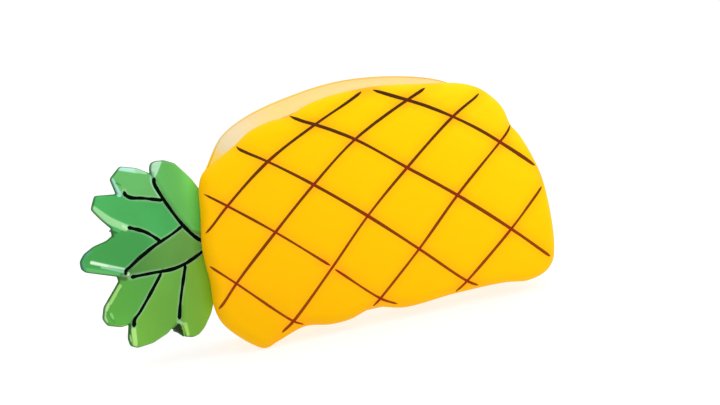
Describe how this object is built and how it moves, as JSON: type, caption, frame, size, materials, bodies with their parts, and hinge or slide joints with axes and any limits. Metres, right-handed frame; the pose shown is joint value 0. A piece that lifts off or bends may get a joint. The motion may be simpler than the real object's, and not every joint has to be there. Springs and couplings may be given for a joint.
{
  "type": "ukulele",
  "caption": "Small pineapple-shaped ukulele: quilted yellow back shell, cream sides, flat soundboard with strings, and a head with worm tuners hidden behind a green leaf crown.",
  "frame": {"origin": "mouth of the end-pin bore, in the middle of the tail", "axes": "+X along the strings from the head to the tail, +Y out of the soundboard, +Z across the strings towards the arched side"},
  "size_m": [0.3318, 0.071, 0.1607],
  "materials": {
    "cream_lacquer": "smooth pale cream lacquer over bent wood sides",
    "yellow_shell": "warm yellow moulded shell with brown painted lines in its grooves",
    "green_acrylic": "glossy translucent green with glassy rounded edges",
    "line_enamel": "near-black enamel",
    "soundboard_wood": "satin pale straight-grained wood",
    "spruce": "raw pale wood",
    "mahogany": "satin reddish brown wood",
    "rosewood": "dark oiled wood",
    "inlay_brown": "brown and cream ring inlay",
    "bone": "polished off-white",
    "pearl": "pearly white",
    "button_pearl": "pearly off-white",
    "nickel": "bright nickel plate",
    "steel": "bright zinc-plated steel",
    "brass": "machined brass",
    "nylon": "clear nylon"
  },
  "bodies": {
    "body": {"sides": "cream_lacquer", "front_lining": "spruce", "back_lining": "spruce", "neck_block": "mahogany", "tail_block": "mahogany", "back_shell": "yellow_shell", "soundboard": "soundboard_wood", "rosette": "inlay_brown", "soundboard_braces": "spruce", "bridge_patch": "mahogany", "bridge": "rosewood", "saddle": "bone", "fingerboard": "rosewood", "position_dots": "pearl", "frets": "nickel", "nut": "bone", "neck": "mahogany", "neck_screws": "steel", "crown": "green_acrylic", "crown_lines": "line_enamel", "crown_standoffs": "nickel", "crown_screws": "steel", "bushings": "nickel", "plate_screws": "steel", "string_g": "nylon", "tuner_plate_g": "nickel", "string_c": "nylon", "tuner_plate_c": "nickel", "string_e": "nylon", "tuner_plate_e": "nickel", "string_a": "nylon", "tuner_plate_a": "nickel"},
    "button_g": {"worm_g": "steel", "button_g": "button_pearl", "button_screw_g": "steel"},
    "post_g": {"post_g": "nickel", "worm_wheel_g": "brass", "string_coil_g": "nylon"},
    "button_c": {"worm_c": "steel", "button_c": "button_pearl", "button_screw_c": "steel"},
    "post_c": {"post_c": "nickel", "worm_wheel_c": "brass", "string_coil_c": "nylon"},
    "button_e": {"worm_e": "steel", "button_e": "button_pearl", "button_screw_e": "steel"},
    "post_e": {"post_e": "nickel", "worm_wheel_e": "brass", "string_coil_e": "nylon"},
    "button_a": {"worm_a": "steel", "button_a": "button_pearl", "button_screw_a": "steel"},
    "post_a": {"post_a": "nickel", "worm_wheel_a": "brass", "string_coil_a": "nylon"}
  },
  "joints": [
    {"name": "button_g_turn", "type": "hinge", "parent": "body", "child": "button_g", "pos_m": [-0.26658, 0.00499, -0.013], "axis": [0, 0, 1], "continuous": true},
    {"name": "post_g_turn", "type": "hinge", "parent": "body", "child": "post_g", "pos_m": [-0.25973, 0.00645, -0.013], "axis": [-0.2079, 0.9781, 0], "continuous": true},
    {"name": "button_c_turn", "type": "hinge", "parent": "body", "child": "button_c", "pos_m": [-0.2837, 0.00136, -0.013], "axis": [0, 0, 1], "continuous": true},
    {"name": "post_c_turn", "type": "hinge", "parent": "body", "child": "post_c", "pos_m": [-0.27685, 0.00281, -0.013], "axis": [-0.2079, 0.9781, 0], "continuous": true},
    {"name": "button_e_turn", "type": "hinge", "parent": "body", "child": "button_e", "pos_m": [-0.2837, 0.00136, 0.013], "axis": [0, 0, 1], "continuous": true},
    {"name": "post_e_turn", "type": "hinge", "parent": "body", "child": "post_e", "pos_m": [-0.27685, 0.00281, 0.013], "axis": [-0.2079, 0.9781, 0], "continuous": true},
    {"name": "button_a_turn", "type": "hinge", "parent": "body", "child": "button_a", "pos_m": [-0.26658, 0.00499, 0.013], "axis": [0, 0, 1], "continuous": true},
    {"name": "post_a_turn", "type": "hinge", "parent": "body", "child": "post_a", "pos_m": [-0.25973, 0.00645, 0.013], "axis": [-0.2079, 0.9781, 0], "continuous": true}
  ],
  "couplings": [
    {"joint": "post_g_turn", "follows": "button_g_turn", "ratio": -0.071429},
    {"joint": "post_c_turn", "follows": "button_c_turn", "ratio": -0.071429},
    {"joint": "post_e_turn", "follows": "button_e_turn", "ratio": -0.071429},
    {"joint": "post_a_turn", "follows": "button_a_turn", "ratio": -0.071429}
  ]
}
